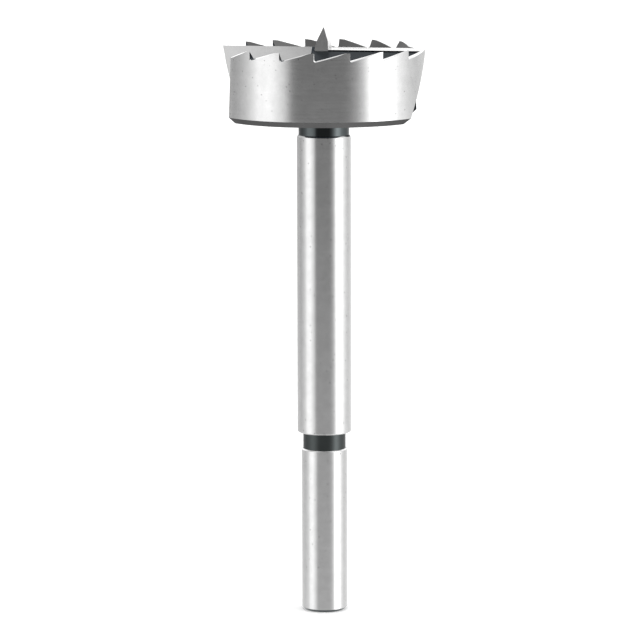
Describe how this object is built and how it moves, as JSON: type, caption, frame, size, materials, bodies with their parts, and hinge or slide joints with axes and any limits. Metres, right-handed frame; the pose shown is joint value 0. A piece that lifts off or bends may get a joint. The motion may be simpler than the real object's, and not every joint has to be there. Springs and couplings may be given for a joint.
{
  "type": "multi-tooth forstner bit",
  "caption": "One-piece wood boring bit: plain round shank, thicker shaft, and a wide shallow head with saw teeth on its rim, two radial cutters, open chip throats and a sharp centre spur.",
  "frame": {"origin": "centre of the shank's end face", "axes": "+Z along the bit's axis, from the shank up to the point; +X along one radial cutter, whose cutting face looks towards +Y"},
  "size_m": [0.045, 0.045, 0.128],
  "materials": {
    "tool_steel": "fine ground outside, dark oxide left in the neck, the groove and the recesses of the head"
  },
  "bodies": {
    "root": {"forstner_bit": "tool_steel"}
  },
  "joints": []
}
